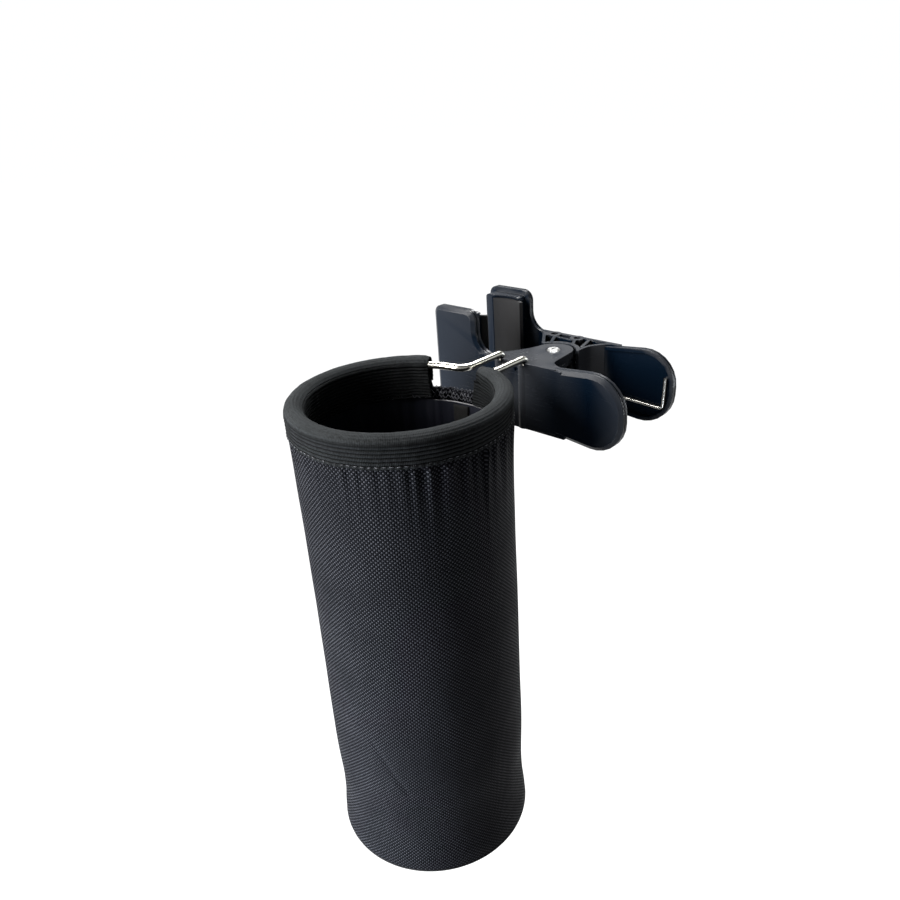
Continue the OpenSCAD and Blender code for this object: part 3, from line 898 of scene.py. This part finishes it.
def make_hem_stitches():
    """Stitches under the bare hem, and overlock threads on it and on the binding's inner edge."""
    places = []
    for angle in spaced(GAP_FROM, GAP_TURN, STITCH_PITCH):
        z = wall_top(angle) - 1.6 * MM
        at = polar(angle, wall_radius(angle, z) + 0.75 * MM, z)
        places.append((at, sideways(angle), outward(angle)))
    # one row of threads outside the fold and two inside it, each with its side, stand and rise
    rows = ((1, 0.9 * MM, 0.5 * MM), (-1, -2.25 * MM, -1.2 * MM), (-1, -2.25 * MM, -3.4 * MM))
    for k, angle in enumerate(spaced(GAP_FROM, GAP_TURN, 1.25 * MM)):
        for row, (side, stand, rise) in enumerate(rows):
            lean = 0.7 * (-1) ** (k + row) + 1.1 * around(angle, 60, row)
            z = wall_top(angle) + 1.0 * MM + rise + 0.7 * MM * around(angle, 55, 3 + row)
            at = polar(angle, wall_radius(angle, z - 3 * MM) + stand, z)
            places.append((at, sideways(angle, lean, 1), side * outward(angle)))
    for k, angle in enumerate(spaced(GAP_TO, BINDING_TURN, 1.7 * MM)):
        lean = 0.9 * (-1) ** k + 1.2 * around(angle, 60, 1.5)
        at = polar(angle, BAG_R - 4.75 * MM,
                   INNER_FOLD_Z + 1.6 * MM + 0.8 * MM * around(angle, 50, 4.5))
        places.append((at, sideways(angle, lean, 1), -outward(angle)))
    thread = stitches("hem_stitches", places, 2.6 * MM, 0.26 * MM)
    finish_piece(thread, THREAD, "pouch", "seam_tape")


def make_seam_stitches():
    """Two straight rows down the closing seam."""
    low, high = FLOOR_Z + 5 * MM, HEM_Z - 5 * MM
    count = int((high - low) / STITCH_PITCH)
    places = []
    for side in (-1, 1):
        angle = SEAM_ANGLE + side * 2.3 * MM / BAG_R
        for k in range(count):
            z = low + (high - low) * (k + 0.5) / count
            at = polar(angle, wall_radius(angle, z) + 0.62 * MM, z)
            places.append((at, Vector((0, 0, 1)), outward(angle)))
    thread = stitches("seam_stitches", places, 2.3 * MM, 0.22 * MM)
    finish_piece(thread, THREAD, "pouch", "seam_tape")


def make_seam():
    """The closing seam at the back: a lapped strip of fabric outside and woven tape inside."""
    columns, rows = 9, 140
    half = 4.2 * MM / BAG_R
    low, high = FLOOR_Z + 3 * MM, HEM_Z - 2.5 * MM
    lap_crown, lap_t, tape_t = 0.62 * MM, 0.3 * MM, 0.5 * MM

    def place(i, j):
        share = i / (columns - 1)
        angle = SEAM_ANGLE + half * (2 * share - 1) + 0.1 * MM * math.sin(j * 0.9) / BAG_R
        z = low + (high - low) * j / (rows - 1)
        crown = lap_crown * (1 - (2 * share - 1) ** 6)
        return polar(angle, wall_radius(angle, z) - 0.15 * MM + crown, z)

    lap = grid("seam_lap", columns, rows, place,
               uv=lambda i, j, point: (2 * half * BAG_R * i / (columns - 1), point.z))
    solidify(lap, lap_t)
    finish_piece(lap, FABRIC, "pouch", "outer_fabric")

    def inner(i, j):
        share = i / (columns - 1)
        angle = SEAM_ANGLE + 1.2 * half * (2 * share - 1)
        z = low + 4 * MM + (high - 6.5 * MM - low) * j / (rows - 1)
        lifted = 0.3 * MM * (2 * share - 1) ** 4
        return polar(angle, lining_radius(angle, z) - 0.8 * MM + lifted, z)

    tape = grid("seam_tape_inside", columns, rows, inner, flip=True)
    solidify(tape, tape_t, 1)
    finish_piece(tape, TAPE, "pouch", "seam_tape", "side_seam_tape")


binding = make_binding()
make_core()
make_rim_stitches()
make_hem_stitches()
make_seam_stitches()
make_seam()

# ---- Wire hoop --------------------------------------------------------------------------------


def hoop_path():
    """Centre line of the bent wire: socket, elbow, leg, ring and back."""
    left, right = sorted(SOCKETS, key=lambda p: p.x)
    socket_y = left.y
    elbow_steps, curve_steps, ring_steps = 12, 16, 200

    def leg(socket, sign):
        offset = (socket.x - AXIS.x) * sign
        start = math.sqrt((HOOP_R + HOOP_BEND) ** 2 - (offset + HOOP_BEND) ** 2)
        leave = math.atan2(start, offset + HOOP_BEND)
        points = [Vector((socket.x, socket_y, WIRE_Z - ELBOW - LEG_DEPTH))]
        for k in range(elbow_steps + 1):
            turn = math.pi / 2 * k / elbow_steps
            points.append(Vector((socket.x, socket_y - ELBOW * (1 - math.cos(turn)),
                                  WIRE_Z - ELBOW + ELBOW * math.sin(turn))))
        for k in range(curve_steps + 1):
            turn = leave * k / curve_steps
            x = offset + HOOP_BEND * (1 - math.cos(turn))
            y = start - HOOP_BEND * math.sin(turn)
            points.append(Vector((AXIS.x + sign * x, AXIS.y + y, WIRE_Z)))
        return points, leave

    one, leave_left = leg(left, -1)
    other, leave_right = leg(right, 1)
    from_angle, to_angle = math.pi - leave_left, TAU + leave_right
    ring = [polar(from_angle + (to_angle - from_angle) * k / ring_steps, HOOP_R, WIRE_Z)
            for k in range(1, ring_steps)]
    return one + ring + other[::-1]


hoop = tube("wire_hoop_bent", hoop_path(), WIRE_R, sides=24)
finish_piece(hoop, NICKEL, "pouch", "plated_wire", "wire_hoop")

# ---- Clamp ------------------------------------------------------------------------------------


def carry_over(node, material, split=26):
    """A CAD node keeps its shape: it gets a material and smooth shading."""
    obj = frame["nodes"][node]
    mesh = obj.data
    if "custom_normal" in mesh.attributes:
        mesh.attributes.remove(mesh.attributes["custom_normal"])
    mesh.polygons.foreach_set("use_smooth", [True] * len(mesh.polygons))
    weld = obj.modifiers.new("weld", "WELD")
    weld.merge_threshold = 0.005 * MM
    edges = obj.modifiers.new("edges", "EDGE_SPLIT")
    edges.split_angle = math.radians(split)
    mesh.materials.clear()
    mesh.materials.append(material)
    return obj


carry_over("near_clamp_half", PLASTIC)
carry_over("far_clamp_half", PLASTIC)
carry_over("near_jaw_pad", RUBBER)
carry_over("far_jaw_pad", RUBBER)
carry_over("pivot_spacer", ZINC)
carry_over("pivot_washer", ZINC)
carry_over("pivot_nut", ZINC)
carry_over("pivot_screw", ZINC)
carry_over("bottom_board", BOARD)

# ---- Torsion spring ---------------------------------------------------------------------------


def make_spring():
    """The coil winds up between the two halves; each leg stays with its own half."""
    turns = COIL_TURNS * TAU + 2 * LEG_ANGLE
    steps = COIL_TURNS * 40
    path = []
    for k in range(steps + 1):
        t = k / steps
        angle = -LEG_ANGLE + turns * t
        path.append(HINGE + Vector((COIL_R * math.cos(angle), COIL_R * math.sin(angle),
                                    COIL_Z * (1 - 2 * t))))
    coil = tube("spring_coil", path, SPRING_R * 0.95, sides=16)
    coil.data.materials.append(SPRING)
    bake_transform(coil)
    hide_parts("torsion_coil")
    low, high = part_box("spring_near_leg")
    end_x, end_y, leg_z = high.x - SPRING_R, low.y + SPRING_R, high.z - SPRING_R
    for name, body, side in (("near", "near_half", 1), ("far", "far_half", -1)):
        turned = Matrix.Diagonal((1, side, side))
        leave = Vector((COIL_R * math.cos(LEG_ANGLE), -COIL_R * math.sin(LEG_ANGLE), 0))
        points = [HINGE + leave + Vector((0.2 * MM, 0, COIL_Z)),
                  Vector((HINGE.x + 20 * MM, end_y + 0.4 * MM, COIL_Z)),
                  Vector((end_x - 0.8 * MM, end_y, leg_z)),
                  Vector((end_x, end_y, low.z))]
        path = [turned @ point for point in rounded_path(points, 2.6 * MM)]
        leg = tube(f"spring_leg_{name}", path, SPRING_R, sides=16)
        finish_piece(leg, SPRING, body, "spring_steel", f"spring_{name}_leg")


make_spring()

# ---- The binding profile's full length, worked out and not used -------------------------------

binding_profile()[1][-1]
